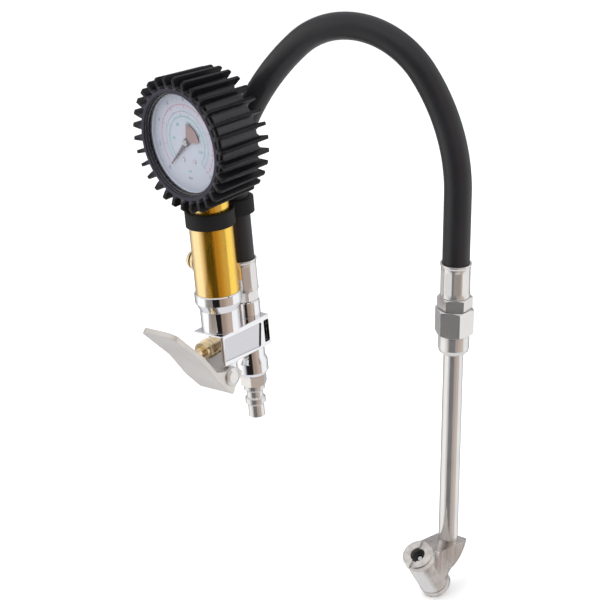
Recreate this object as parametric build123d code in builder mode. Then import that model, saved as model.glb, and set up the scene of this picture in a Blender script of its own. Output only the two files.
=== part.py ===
"""Hand-held tyre inflator with a pressure gauge, a lever valve, a looped hose and a dual-foot chuck.

Millimetres, +Z up along the grip. The origin is the tip of the air-line plug, on the axis of the inlet and
of the hose's root. The grip stands in front of that axis, towards -Y, and the hose loops over to +X.
"""

import os
from math import cos, radians, sin

from build123d import *

os.makedirs("parts", exist_ok=True)

# Driving dimensions -------------------------------------------------------------------------------------
# Heights on the grip and inlet axes
inlet_end = 27.0
block_bottom = 45.0
bore_height = 55.0
gallery_height = 61.0
block_top = 63.5
boss_top = 73.0
grip_bottom = 86.0
grip_shoulder = 131.0
grip_top = 146.1
gauge_height = 176.4

# Places in plan
grip_y = -22.5
block_front = -35.0
block_back = 6.5
block_half_width = 11.0

# Fits
running_gap = 0.05
free_gap = 0.2

# Gauge, along its own axis: 0 is the grip's axis, positive is towards the reader
gauge_twist = 8.0
boot_back = -14.5
boot_front = 17.0
boot_radius = 32.8
fin_back = -17.5
fin_front = 18.2
fin_radius_back = 37.2
fin_radius_front = 38.9
fin_count = 30
fin_start_angle = 3.0
fin_thickness = 1.9
case_radius = 30.0
window_radius = 28.2
lens_front = 14.4
dial_front = 10.5
zero_angle = 225.0

# Lever, in the Y-Z plane
pivot_y = -31.4
pivot_z = 38.7
lever_width = 25.0
lever_thickness = 2.9

# Hose loop: it lies in an upright plane turned from +X towards +Y
loop_heading = 10.0
hose_radius = 7.5
hose_bore_radius = 4.0
hose_start = 80.0
bend_start = 136.0
bend_radii = (95.0, 160.0, 50.4, 106.0)
bend_angles = (31.0, 20.0, 97.3, 37.2)
leg_length = 57.5

# Wand, along its own axis: 0 is the end of the far ferrule, positive is back up the hose
ferrule_length = 19.5
nut_top = -7.0
nut_bottom = -22.0
collar_bottom = -33.5
pipe_radius = 5.5
head_top = -153.0
pipe_end = -157.5
passage_height = -155.3
passage_radius = 1.4
fitting_face = -17.0
washer_back = -18.2
pipe_flange_back = -19.7

# Chuck barrel, along its own axis: 0 is the front face, negative is inwards
barrel_length = 36.0
barrel_radius = 8.5
barrel_lean = 36.0
barrel_front_reach = 33.6
barrel_front_height = -145.5
head_half_width = 8.6

# Planes -------------------------------------------------------------------------------------------------
grip = Plane(origin=(0, grip_y, 0), x_dir=(1, 0, 0), z_dir=(0, 0, 1))
inlet = Plane.XY
bore = Plane(origin=(0, 0, bore_height), x_dir=(1, 0, 0), z_dir=(0, 1, 0))
pivot = Plane(origin=(0, pivot_y, pivot_z), x_dir=(0, 1, 0), z_dir=(1, 0, 0))
bleed = Plane(origin=(0, grip_y, 102.0), x_dir=(0, 0, 1), z_dir=(-1, 0, 0))
twist = radians(gauge_twist)
dial = Plane(
    origin=(0, grip_y, gauge_height), x_dir=(cos(twist), -sin(twist), 0), z_dir=(-sin(twist), -cos(twist), 0)
)
heading = radians(loop_heading)
loop = Plane(origin=(0, 0, 0), x_dir=(cos(heading), sin(heading), 0), z_dir=(sin(heading), -cos(heading), 0))


def raised(place, height):
    """The plane moved along its own axis."""
    return place.offset(height)


def beside(place, across, along):
    """The plane moved sideways within itself."""
    centre = place.from_local_coords(Vector(across, along, 0))
    return Plane(origin=centre, x_dir=place.x_dir, z_dir=place.z_dir)


def turn(place, corners, mode=Mode.ADD):
    """Adds or cuts a turned solid: corners are (radius, height) on the plane's axis."""
    section = Plane(origin=place.origin, x_dir=place.x_dir, z_dir=-place.y_dir)
    with BuildSketch(section) as outline:
        with BuildLine():
            Polyline(*corners, close=True)
        make_face()
    revolve(outline.sketch, axis=Axis(place.origin, place.z_dir), mode=mode)


def drill(place, radius, start, end):
    """Cuts a round hole along the plane's axis."""
    turn(place, [(0, start), (radius, start), (radius, end), (0, end)], Mode.SUBTRACT)


def ring(place, inner, outer, start, end, mode=Mode.ADD):
    """Adds or cuts a plain ring along the plane's axis."""
    turn(place, [(inner, start), (outer, start), (outer, end), (inner, end)], mode)


def hexagon(place, across_flats, start, end, rotation=0.0):
    """Makes a hexagonal prism with turned-down corners, as the first feature of a piece."""
    inscribed = across_flats / 2
    corner = 1.16 * inscribed
    trim = 0.08 * inscribed
    with BuildSketch(raised(place, start)) as flats:
        RegularPolygon(inscribed, 6, major_radius=False, rotation=rotation)
    extrude(flats.sketch, amount=end - start)
    turn(
        place,
        [
            (0, start), (inscribed, start), (corner, start + trim),
            (corner, end - trim), (inscribed, end), (0, end),
        ],
        Mode.INTERSECT,
    )


def coil(place, radius, wire, start, end, turns):
    """Adds a coil spring along the plane's axis, its wire inside start and end."""
    height = end - start - 2 * wire
    base = raised(place, start + wire)
    path = base.location * Helix(pitch=height / turns, height=height, radius=radius)
    with BuildSketch(Plane(origin=path @ 0, z_dir=path % 0)) as round_wire:
        Circle(wire)
    sweep(round_wire.sketch, path=path)


def save(part, label):
    """Labels a piece and writes its STEP file."""
    part.label = label
    export_step(part, f"parts/{label}.step")


# Hose path, and the wand's frame at its end -------------------------------------------------------------
with BuildLine(loop) as hose_path:
    Line((0, hose_start), (0, bend_start))
    for bend_radius, bend_angle in zip(bend_radii, bend_angles):
        JernArc(hose_path.line @ 1, hose_path.line % 1, bend_radius, -bend_angle)
    PolarLine(hose_path.line @ 1, leg_length, direction=hose_path.line % 1)

hose_end = hose_path.wires()[0] @ 1
wand_up = -(hose_path.wires()[0] % 1)
wand = Plane(origin=hose_end - wand_up, x_dir=(sin(radians(5)), -cos(radians(5)), 0), z_dir=wand_up)
web = Plane(origin=wand.origin, x_dir=wand.x_dir, z_dir=-wand.y_dir)
passage_start = wand.from_local_coords(Vector(0, 0, passage_height))
passage = Plane(origin=passage_start, x_dir=wand.y_dir, z_dir=wand.x_dir)

lean = radians(barrel_lean)
barrel_axis = wand.x_dir * sin(lean) + wand.z_dir * cos(lean)
barrel_origin = wand.from_local_coords(Vector(barrel_front_reach, 0, barrel_front_height))
barrel_end = barrel_origin - barrel_axis * barrel_length
barrel = Plane(origin=barrel_origin, x_dir=wand.y_dir, z_dir=barrel_axis)
barrel_back = Plane(origin=barrel_end, x_dir=wand.y_dir, z_dir=-barrel_axis)

# Inlet plug ---------------------------------------------------------------------------------------------
thread_root = 5.8
thread_crest = 6.58
thread_pitch = 1.337
thread_turns = 5
thread_start = 29.2
hex_start = 20.0
plug_end = 36.0
plug_bore = 2.6
key_depth = 5.0
oring_wire = 0.75
port_radius = thread_crest + running_gap

with BuildPart() as inlet_nipple:
    hexagon(inlet, 14.0, hex_start, inlet_end)
    turn(
        inlet,
        [
            (0, 0), (4.8, 0), (4.8, 7.4), (6.0, 8.6), (6.0, 11.6), (4.9, 12.6), (4.9, 16.0), (6.2, 17.2),
            (6.2, hex_start), (0, hex_start),
        ],
    )
    turn(inlet, [(0, inlet_end), (thread_root, inlet_end), (thread_root, plug_end), (0, plug_end)])
    for turn_number in range(thread_turns):
        low = thread_start + turn_number * thread_pitch
        turn(
            inlet,
            [
                (thread_root - 0.2, low),
                (thread_crest, low + 0.55),
                (thread_crest, low + 0.75),
                (thread_root - 0.2, low + 1.3),
            ],
        )
    drill(inlet, plug_bore, 0, plug_end)
    with BuildSketch(inlet.offset(plug_end - key_depth)) as key_socket:
        RegularPolygon(3.5, 6, major_radius=False)
    extrude(key_socket.sketch, amount=key_depth, mode=Mode.SUBTRACT)

with BuildPart() as nipple_oring:
    with BuildSketch(Plane.XZ) as section:
        with Locations((thread_root + oring_wire, inlet_end + oring_wire)):
            Circle(oring_wire)
    revolve(axis=Axis.Z)

# Valve body ---------------------------------------------------------------------------------------------
spigot_radius = 8.0
spigot_bottom = 74.0
field_depth = 0.8
gland_radius = 4.2
gland_foot = -28.0
chamber_radius = 3.3
seat_radius = 2.2
seat_y = -7.5
rear_chamber_radius = 4.5
cap_thread_radius = 4.7
cap_thread_start = 1.0
pin_radius = 2.5

with BuildPart() as valve_body:
    block_length = block_back - block_front
    block_middle = (block_back + block_front) / 2
    with BuildSketch(Plane.XY.offset(block_bottom)):
        with Locations((0, block_middle)):
            RectangleRounded(2 * block_half_width, block_length, 1.2)
    extrude(amount=block_top - block_bottom)
    fillet(valve_body.edges().group_by(Axis.Z)[-1], radius=0.7)
    fillet(valve_body.edges().group_by(Axis.Z)[0], radius=0.7)
    # Collar, tapering into the riser under the grip
    riser_bottom = block_top - 1.0
    turn(
        grip,
        [
            (0, riser_bottom), (11.25, riser_bottom), (11.25, 75.8), (13.5, 80.4), (13.5, 85.4),
            (12.9, grip_bottom), (0, grip_bottom),
        ],
    )
    # Boss for the hose fitting and the flared inlet below
    turn(
        inlet,
        [(0, riser_bottom), (8.0, riser_bottom), (8.0, boss_top - 0.6), (7.4, boss_top), (0, boss_top)],
    )
    inlet_root = block_bottom + 1.0
    turn(
        inlet,
        [
            (0, inlet_root), (8.2, inlet_root), (8.2, 38.0), (9.4, 35.0), (9.4, 29.0), (8.2, inlet_end),
            (0, inlet_end),
        ],
    )
    # Lug for the lever's pin
    with BuildSketch(Plane.YZ) as lug_outline:
        with BuildLine():
            lug_arc = CenterArc((pivot_y, pivot_z), 4.5, 150, 210)
            Line(lug_arc @ 1, (-22.0, inlet_root))
            Line((-22.0, inlet_root), (block_front, inlet_root))
            Line((block_front, inlet_root), lug_arc @ 0)
        make_face()
    extrude(lug_outline.sketch, amount=9.5, both=True)
    # Side plates: a sunk field and a slot on each side
    for side in (-1, 1):
        plate = Plane(origin=(side * block_half_width, 0, 0), x_dir=(0, side, 0), z_dir=(side, 0, 0))
        with BuildSketch(plate) as field:
            with BuildLine():
                Polyline(
                    (side * -34.0, 48.0), (side * -3.0, 46.4), (side * -0.8, 60.6), (side * -33.0, 61.6),
                    close=True,
                )
            make_face()
            fillet(field.vertices(), radius=0.8)
        extrude(field.sketch, amount=-field_depth, mode=Mode.SUBTRACT)
        with BuildSketch(plate) as slot:
            with Locations((side * 3.2, 54.1)):
                RectangleRounded(4.2, 13.4, 0.9)
        extrude(slot.sketch, amount=-2.2, mode=Mode.SUBTRACT)
    # Socket for the grip tube and the passages
    drill(grip, spigot_radius, spigot_bottom, grip_bottom)
    drill(grip, 2.5, bore_height, spigot_bottom)
    drill(bore, gland_radius, block_front, gland_foot)
    drill(bore, chamber_radius, gland_foot, -9.0)
    drill(bore, seat_radius, -9.0, seat_y)
    drill(bore, rear_chamber_radius, seat_y, cap_thread_start)
    drill(bore, cap_thread_radius, cap_thread_start, block_back)
    gallery = Plane(origin=(0, 0, gallery_height), x_dir=(1, 0, 0), z_dir=(0, 1, 0))
    drill(gallery, 1.2, grip_y, block_back)
    drill(inlet, 4.8, 66.0, boss_top)
    drill(inlet, 2.0, gallery_height - 1.0, 66.0)
    drill(inlet, port_radius, inlet_end, 37.0)
    drill(inlet, 7.4, inlet_end, inlet_end + 1.5)
    drill(inlet, 2.3, 37.0, bore_height)
    drill(pivot, pin_radius, -10.0, 10.0)

with BuildPart() as gallery_plug:
    turn(gallery, [(0, 3.5), (1.2, 3.5), (1.2, block_back), (0, block_back)])

# Lever valve: gland, plunger, poppet, spring, cap -------------------------------------------------------
plunger_radius = 2.75
plunger_tip = -48.75
plunger_foot = -30.0
gland_tip = -41.0
stem_radius = 1.5
poppet_nose = -10.5
poppet_back = -3.5
cap_pocket = 5.0

with BuildPart() as plunger_guide:
    turn(
        bore,
        [
            (0, gland_foot), (gland_radius, gland_foot), (gland_radius, block_front), (5.6, block_front),
            (5.6, -37.2), (4.8, -37.8), (4.8, -38.6), (5.2, -39.0), (5.2, gland_tip), (0, gland_tip),
        ],
    )
    drill(bore, plunger_radius + running_gap, gland_tip, gland_foot)

with BuildPart() as plunger:
    turn(
        bore,
        [(0, plunger_foot), (plunger_radius, plunger_foot), (plunger_radius, plunger_tip), (0, plunger_tip)],
    )
    turn(bore, [(0, poppet_nose), (stem_radius, poppet_nose), (stem_radius, plunger_foot), (0, plunger_foot)])
    fillet(plunger.edges().group_by(Axis.Y)[0], radius=1.6)

with BuildPart() as poppet:
    turn(bore, [(0, poppet_nose), (1.1, poppet_nose), (1.1, seat_y + 1.0), (0, seat_y + 1.0)])
    turn(
        bore,
        [
            (0, seat_y + 1.0), (3.9, seat_y + 1.0), (3.9, poppet_back), (1.2, poppet_back), (1.2, -1.8),
            (0, -1.8),
        ],
    )

with BuildPart() as poppet_seal:
    ring(bore, 1.1, 3.7, seat_y, seat_y + 1.0)

with BuildPart() as valve_spring:
    coil(bore, 2.2, 0.3, poppet_back, cap_pocket, 6)

with BuildPart() as valve_cap:
    turn(
        bore,
        [
            (0, cap_thread_start), (cap_thread_radius, cap_thread_start), (cap_thread_radius, block_back),
            (7.0, block_back), (7.0, 8.2), (6.2, 9.6), (4.2, 10.8), (0, 11.2),
        ],
    )
    drill(bore, 3.0, cap_thread_start, cap_pocket)
    with BuildSketch(bore.offset(9.6)) as cap_key:
        SlotCenterToCenter(8.0, 1.4)
    extrude(cap_key.sketch, amount=2.0, mode=Mode.SUBTRACT)

# Lever and its pin --------------------------------------------------------------------------------------
ear_inner = 9.7

with BuildPart() as lever:
    with BuildSketch(Plane.YZ) as lever_profile:
        with BuildLine():
            FilletPolyline((-31.0, 29.0), (-42.0, 41.0), (-53.0, 56.7), (-74.5, 79.0), radius=10.0)
        trace(line_width=lever_thickness)
    extrude(lever_profile.sketch, amount=lever_width / 2, both=True)
    end_edges = lever.edges().filter_by(lambda edge: abs(edge.length - lever_thickness) < 0.01)
    fillet(end_edges.group_by(Axis.Z)[-1], radius=5.0)
    for side in (-1, 1):
        ear_plane = Plane(origin=(side * ear_inner, 0, 0), x_dir=(0, 1, 0), z_dir=(1, 0, 0))
        with BuildSketch(ear_plane) as ear:
            with BuildLine():
                Polyline(
                    (-31.6, 29.8), (-42.4, 41.6), (-46.4, 46.8), (-43.2, 45.6), (-36.4, 43.4),
                    (-31.4, 44.5), (-26.2, 42.6), (-22.6, 38.6), (-25.2, 35.2), close=True,
                )
            make_face()
            fillet(ear.vertices().sort_by(Axis.X)[-4:], radius=1.4)
        extrude(ear.sketch, amount=side * (lever_width / 2 - ear_inner))
    drill(pivot, pin_radius + running_gap, -13.0, 13.0)

with BuildPart() as lever_pin:
    turn(
        pivot,
        [
            (0, -14.2), (3.6, -14.2), (5.2, -13.4), (5.2, -12.55), (pin_radius, -12.55),
            (pin_radius, 12.55), (5.2, 12.55), (5.2, 13.4), (3.6, 14.2), (0, 14.2),
        ],
    )

# Grip tube, bleed valve and hose clip -------------------------------------------------------------------
grip_radius = 12.5
neck_radius = 11.5
socket_thread = 5.9
socket_bottom = 128.0
bleed_bore = 4.5
flange_face = 13.9

with BuildPart() as handle_tube:
    turn(
        grip,
        [
            (0, spigot_bottom), (7.2, spigot_bottom), (spigot_radius, 75.0), (spigot_radius, grip_bottom),
            (grip_radius, grip_bottom), (grip_radius, grip_shoulder - 0.5), (12.0, grip_shoulder),
            (neck_radius, grip_shoulder), (neck_radius, grip_top), (0, grip_top),
        ],
    )
    ring(grip, 6.6, spigot_radius, 78.0, 80.0, Mode.SUBTRACT)
    drill(grip, 4.0, spigot_bottom, socket_bottom)
    drill(grip, socket_thread, socket_bottom, grip_top)
    drill(bleed, bleed_bore, 0, grip_radius + 1)
    ring(bleed, 0, 6.6, 11.6, grip_radius + 1, Mode.SUBTRACT)

with BuildPart() as tube_oring:
    ring(grip, 6.6, spigot_radius, 78.1, 79.9)

with BuildPart() as bleed_valve_body:
    turn(
        bleed,
        [
            (0, 6.5), (bleed_bore, 6.5), (bleed_bore, 11.6), (6.5, 11.6), (6.5, 13.3), (5.9, flange_face),
            (0, flange_face),
        ],
    )
    drill(bleed, 1.5 + running_gap, 6.5, flange_face)
    drill(bleed, 3.4, 10.4, flange_face)

with BuildPart() as bleed_button:
    turn(
        bleed,
        [
            (0, 4.7), (3.0, 4.7), (3.0, 5.7), (1.5, 5.7), (1.5, 15.5), (5.3, 15.5), (5.3, 16.6), (4.8, 17.4),
            (3.4, 18.1), (0, 18.4),
        ],
    )

with BuildPart() as bleed_seal:
    ring(bleed, 1.5, 3.0, 5.7, 6.5)

with BuildPart() as bleed_spring:
    coil(bleed, 2.6, 0.3, 10.4, 15.5, 5)

with BuildPart() as hose_clip:
    clip_bottom = 126.0
    clip_top = 135.0
    with BuildSketch(Plane.XY.offset(clip_bottom)) as clip_outline:
        with Locations((0, grip_y)):
            Circle(14.1)
        Circle(10.2)
        with Locations((0, -11.0)):
            Rectangle(9.0, 14.0)
        with Locations((0, grip_y)):
            Circle(grip_radius, mode=Mode.SUBTRACT)
        Circle(hose_radius, mode=Mode.SUBTRACT)
    extrude(amount=clip_top - clip_bottom)
    fillet(hose_clip.edges().filter_by(GeomType.CIRCLE).group_by(Axis.Z)[-1], radius=0.4)

# Gauge --------------------------------------------------------------------------------------------------
case_back = -12.0
boot_mouth = 24.0
case_front = 11.4
wall = 1.2
lip_back = 15.2
pocket_back = 13.4
pocket_front = 14.9
neck_face = grip_top - gauge_height
socket_foot = neck_face - 17.0
lens_radius = 29.0
lens_back = lens_front - 1.4
gasket_back = lens_back - 0.7
movement_front = 8.0
movement_plate = 1.2
dial_back = dial_front - 0.8
dial_radius = 28.2
shaft_radius = 0.6
shaft_end = 12.2
pinion_pitch = 1.6
sector_pitch = 12.0
sector_angle = 200.0
gauge_stem = Plane(origin=(0, grip_y, gauge_height), x_dir=dial.x_dir, z_dir=(0, 0, 1))


def polar(radius, angle):
    """A point of the dial plane from its distance and its angle in degrees."""
    return (radius * cos(radians(angle)), radius * sin(radians(angle)))


sector_pivot = polar(sector_pitch + pinion_pitch, sector_angle)
sector_place = beside(dial, *sector_pivot)
tail_pin = (sector_pivot[0] - 4.6, sector_pivot[1] + 3.0)
screw_places = [beside(dial, screw_x, -20.5) for screw_x in (-6.0, 6.0)]
tube_radius = 21.0
tube_tip_angle = 168.0

with BuildPart() as gauge_boot:
    turn(
        dial,
        [
            (boot_mouth, boot_back), (boot_radius - 1.5, boot_back), (boot_radius, boot_back + 1.5),
            (boot_radius, boot_front - 1.0), (boot_radius - 1.0, boot_front), (29.6, boot_front),
            (29.2, boot_front - 0.4), (29.2, lip_back), (case_radius, lip_back), (case_radius, case_back),
            (boot_mouth, case_back),
        ],
    )
    # Pocket behind the front ring, crossed by the fins
    ring(dial, case_radius + 1.0, boot_radius + 1.0, pocket_back, pocket_front, Mode.SUBTRACT)
    fin_section = Plane(origin=dial.origin, x_dir=dial.x_dir, z_dir=-dial.y_dir)
    with BuildSketch(fin_section) as fin_outline:
        with BuildLine():
            Polyline(
                (case_radius + 0.6, boot_back + 1.6), (fin_radius_back - 1.4, fin_back),
                (fin_radius_back, fin_back + 0.9), (fin_radius_front, fin_front - 2.0),
                (fin_radius_front - 1.2, fin_front), (boot_radius + 0.2, boot_front + 0.2),
                (case_radius + 0.6, boot_front - 0.9), close=True,
            )
        make_face()
    for fin_number in range(fin_count):
        fin_angle = fin_start_angle + fin_number * 360 / fin_count
        fin_face = fin_outline.sketch.rotate(Axis(dial.origin, dial.z_dir), fin_angle)
        extrude(fin_face, amount=fin_thickness / 2, both=True)
    # Opening for the grip's neck, open to the back
    opening_start = -fin_radius_front - 2.0
    opening_end = 4.0 - case_radius
    drill(gauge_stem, neck_radius + free_gap, opening_start, opening_end)
    with BuildSketch(gauge_stem.offset(opening_start)) as back_slot:
        with Locations((0, 12.0)):
            Rectangle(2 * (neck_radius + free_gap), 24.0)
    extrude(back_slot.sketch, amount=opening_end - opening_start, mode=Mode.SUBTRACT)

with BuildPart() as gauge_case:
    turn(
        dial,
        [
            (0, case_back), (case_radius, case_back), (case_radius, case_front),
            (case_radius - wall, case_front), (case_radius - wall, case_back + wall), (0, case_back + wall),
        ],
    )
    drill(gauge_stem, 7.0, -case_radius - 1, -case_radius + 5)
    for screw_place in screw_places:
        drill(screw_place, 1.2, case_back, case_back + wall)

with BuildPart() as bezel_ring:
    turn(
        dial,
        [
            (28.6, case_front), (case_radius, case_front), (case_radius, lip_back - 0.4),
            (29.6, lip_back), (28.6, lip_back), (window_radius, lip_back - 0.4), (window_radius, lens_front),
            (lens_radius, lens_front), (lens_radius, gasket_back), (28.6, gasket_back),
        ],
    )

with BuildPart() as gauge_lens:
    ring(dial, 0, lens_radius, lens_back, lens_front)

with BuildPart() as lens_gasket:
    ring(dial, window_radius, lens_radius, gasket_back, lens_back)

block_back_face = case_back + wall
block_front_face = -movement_plate
block_low = -26.0
block_high = -17.0

with BuildPart() as gauge_socket:
    turn(
        gauge_stem,
        [
            (0, socket_foot), (socket_thread - 0.8, socket_foot), (socket_thread, socket_foot + 1.0),
            (socket_thread, neck_face), (6.8, neck_face), (6.8, block_low), (0, block_low),
        ],
    )
    with BuildSketch(gauge_stem.offset(block_low)) as block_outline:
        with Locations((0, -(block_back_face + block_front_face) / 2)):
            Rectangle(17.0, block_front_face - block_back_face)
    extrude(block_outline.sketch, amount=block_high - block_low)
    drill(gauge_stem, 1.6, socket_foot, -21.0)
    for screw_place in screw_places:
        drill(screw_place, 1.1, block_back_face, block_front_face)

with BuildPart() as case_screws:
    for screw_place in screw_places:
        turn(
            screw_place,
            [
                (0, case_back - 1.2), (2.0, case_back - 1.2), (2.2, case_back), (1.1, case_back), (1.1, -5.0),
                (0, -5.0),
            ],
        )

with BuildPart() as bourdon_tube:
    tube_middle = -4.7
    tube_start_angle = -67.0
    tube_end_angle = tube_tip_angle - 8.0
    with BuildLine(dial.offset(tube_middle)) as tube_path:
        CenterArc((0, 0), tube_radius, tube_start_angle, tube_end_angle - tube_start_angle)
    tube_root = Plane(origin=tube_path.line @ 0, x_dir=dial.z_dir, z_dir=tube_path.line % 0)
    with BuildSketch(tube_root) as flat_oval:
        SlotOverall(6.8, 2.4)
    sweep(flat_oval.sketch, path=tube_path.line)

with BuildPart() as bourdon_tip:
    lug_face = -2.8
    with BuildSketch(dial.offset(-6.6)) as tip_outline:
        with BuildLine():
            Polyline(
                polar(22.2, tube_end_angle), polar(22.2, 167.0), polar(19.0, 171.0), polar(17.4, 170.0),
                polar(17.4, 165.0), polar(19.8, 162.0), polar(19.8, tube_end_angle), close=True,
            )
        make_face()
    extrude(tip_outline.sketch, amount=lug_face + 6.6)
    tip_pin = polar(18.4, 167.5)
    with BuildSketch(dial.offset(lug_face)) as tip_pin_outline:
        with Locations(tip_pin):
            Circle(0.5)
    extrude(tip_pin_outline.sketch, amount=1.0)

with BuildPart() as link:
    with BuildSketch(dial.offset(lug_face)) as link_outline:
        with Locations(tip_pin, tail_pin):
            Circle(1.1)
        make_hull()
        with Locations(tip_pin, tail_pin):
            Circle(0.55, mode=Mode.SUBTRACT)
    extrude(link_outline.sketch, amount=0.8)

pillar_places = [polar(13.5, angle) for angle in (60.0, 120.0, 250.0, 320.0)]
post_places = [(-4.75, -10.8), (4.75, -10.8)]
front_plate_back = movement_front - movement_plate

with BuildPart() as movement_back_plate:
    with BuildSketch(dial.offset(block_front_face)) as back_plate_outline:
        Circle(16.0)
        with Locations((0, -18.0)):
            Rectangle(16.0, 8.0)
        Circle(0.65, mode=Mode.SUBTRACT)
        with Locations(sector_pivot):
            Circle(0.65, mode=Mode.SUBTRACT)
        with Locations((-6.0, -20.5), (6.0, -20.5)):
            Circle(1.1, mode=Mode.SUBTRACT)
    extrude(back_plate_outline.sketch, amount=movement_plate)

with BuildPart() as movement_screws:
    for screw_place in screw_places:
        turn(
            screw_place,
            [(0, -4.0), (1.1, -4.0), (1.1, 0), (2.0, 0), (1.9, 1.0), (0, 1.2)],
        )

with BuildPart() as movement_front_plate:
    with BuildSketch(dial.offset(front_plate_back)) as front_plate_outline:
        Circle(15.2)
        Circle(0.65, mode=Mode.SUBTRACT)
        with Locations(sector_pivot):
            Circle(0.65, mode=Mode.SUBTRACT)
    extrude(front_plate_outline.sketch, amount=movement_plate)

with BuildPart() as movement_pillars:
    with BuildSketch(dial) as pillar_outline:
        with Locations(pillar_places):
            Circle(1.2)
    extrude(pillar_outline.sketch, amount=front_plate_back)

with BuildPart() as dial_posts:
    with BuildSketch(dial.offset(movement_front)) as post_outline:
        with Locations(post_places):
            Circle(1.8)
            Circle(0.6, mode=Mode.SUBTRACT)
    extrude(post_outline.sketch, amount=dial_back - movement_front)

with BuildPart() as dial_plate:
    with BuildSketch(dial.offset(dial_back)) as dial_outline:
        Circle(dial_radius)
        Circle(1.5, mode=Mode.SUBTRACT)
        with Locations(post_places):
            Circle(0.65, mode=Mode.SUBTRACT)
    extrude(dial_outline.sketch, amount=dial_front - dial_back)

with BuildPart() as dial_screws:
    for post_x, post_y in post_places:
        turn(
            beside(dial, post_x, post_y),
            [
                (0, movement_front + 0.2), (0.6, movement_front + 0.2), (0.6, dial_front), (1.35, dial_front),
                (1.2, dial_front + 0.45), (0, dial_front + 0.6),
            ],
        )

with BuildPart() as pinion_shaft:
    turn(
        dial,
        [
            (0, block_front_face), (shaft_radius, block_front_face), (shaft_radius, 1.6), (pinion_pitch, 1.6),
            (pinion_pitch, 3.6), (shaft_radius, 3.6), (shaft_radius, shaft_end), (0, shaft_end),
        ],
    )

with BuildPart() as sector_gear:
    turn(
        sector_place,
        [
            (0, block_front_face), (shaft_radius, block_front_face), (shaft_radius, 0.4), (1.8, 0.4),
            (1.8, 5.0), (shaft_radius, 5.0), (shaft_radius, movement_front), (0, movement_front),
        ],
    )
    with BuildSketch(sector_place.offset(2.0)) as sector_outline:
        with BuildLine():
            rim = CenterArc((0, 0), sector_pitch - running_gap, -22.0, 48.0)
            Line(rim @ 1, (0, 0))
            Line((0, 0), rim @ 0)
        make_face()
        with BuildLine():
            Polyline((-4.9, 2.2), (-5.3, 3.8), (-3.9, 4.0), (1.0, 1.4), (-1.0, -1.5), close=True)
        make_face()
    extrude(sector_outline.sketch, amount=1.2)
    with BuildSketch(dial.offset(lug_face)) as tail_pin_outline:
        with Locations(tail_pin):
            Circle(0.5)
    extrude(tail_pin_outline.sketch, amount=2.0 - lug_face)

with BuildPart() as hairspring:
    ring(dial, 0.65, 1.2, 4.2, 5.0)
    spiral_turns = 3.0
    spiral_end = 5.0
    with BuildSketch(dial.offset(4.45)) as spiral_outline:
        with BuildLine():
            Spline(
                [
                    polar(1.15 + (spiral_end - 1.15) * step / 36, 360 * spiral_turns * step / 36)
                    for step in range(37)
                ]
            )
        trace(line_width=0.2)
        with Locations((spiral_end, 0)):
            Circle(0.5)
    extrude(spiral_outline.sketch, amount=0.3)
    with BuildSketch(dial.offset(4.45)) as stud_outline:
        with Locations((spiral_end, 0)):
            Circle(0.5)
    extrude(stud_outline.sketch, amount=front_plate_back - 4.45)

pointer_back = 11.2
pointer_front = 11.6

with BuildPart() as pointer:
    with BuildSketch(dial.offset(pointer_back)) as pointer_outline:
        Circle(2.3)
        with BuildLine():
            Polyline(
                polar(1.2, zero_angle - 90.0), polar(20.5, zero_angle - 0.4), polar(20.5, zero_angle + 0.4),
                polar(1.2, zero_angle + 90.0), close=True,
            )
        make_face()
        with BuildLine():
            tail_arc = CenterArc((0, 0), 11.5, zero_angle - 180.0 - 27.0, 54.0)
            Line(tail_arc @ 1, polar(1.0, zero_angle - 90.0))
            Line(polar(1.0, zero_angle - 90.0), polar(1.0, zero_angle + 90.0))
            Line(polar(1.0, zero_angle + 90.0), tail_arc @ 0)
        make_face()
        Circle(shaft_radius, mode=Mode.SUBTRACT)
    extrude(pointer_outline.sketch, amount=pointer_front - pointer_back)

with BuildPart() as pointer_cap:
    turn(
        dial,
        [
            (shaft_radius, pointer_front), (2.0, pointer_front), (2.0, shaft_end), (1.7, shaft_end + 0.4),
            (0, shaft_end + 0.4), (0, shaft_end), (shaft_radius, shaft_end),
        ],
    )

# Hose and its fittings ----------------------------------------------------------------------------------
barb_radius = hose_bore_radius
fitting_bore = 2.0
ferrule_radius = 8.2
lip_radius = 8.6


def barbs(place, start, end):
    """Adds the ridged stem that holds the hose."""
    step = (end - start) / 4
    for ridge in range(4):
        low = start + ridge * step
        turn(place, [(0, low), (barb_radius, low), (barb_radius - 0.5, low + step), (0, low + step)])


def ferrule(place, base, top):
    """Adds a crimped ferrule with a floor under the hose's end and a flared lip."""
    turn(
        place,
        [
            (5.0, base), (ferrule_radius, base), (ferrule_radius, top - 1.6), (lip_radius, top - 1.0),
            (lip_radius, top), (hose_radius, top), (hose_radius, base + 1.0), (5.0, base + 1.0),
        ],
    )


with BuildPart() as hose:
    with BuildSketch(raised(inlet, hose_start)) as hose_section:
        Circle(hose_radius)
        Circle(hose_bore_radius, mode=Mode.SUBTRACT)
    sweep(hose_section.sketch, path=hose_path.wires()[0])

with BuildPart() as hose_fitting_a:
    hexagon(inlet, 14.0, boss_top, hose_start - 1.0, rotation=25.0)
    ring(inlet, 0, 5.0, hose_start - 1.0, hose_start)
    ring(inlet, 0, 4.8, 66.0, boss_top)
    barbs(inlet, hose_start, hose_start + 17.0)
    drill(inlet, fitting_bore, 66.0, hose_start + 17.0)

with BuildPart() as ferrule_a:
    ferrule(inlet, hose_start - 1.0, hose_start + 18.0)

with BuildPart() as ferrule_b:
    ferrule(wand, 0, ferrule_length)

with BuildPart() as hose_fitting_b:
    hexagon(wand, 17.0, nut_top + 0.1, 0)
    ring(wand, 0, 5.0, 0, 1.0)
    barbs(wand, 1.0, 18.0)
    ring(wand, 0, thread_crest, fitting_face, nut_top + 0.1)
    drill(wand, fitting_bore, fitting_face, 18.0)

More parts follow.
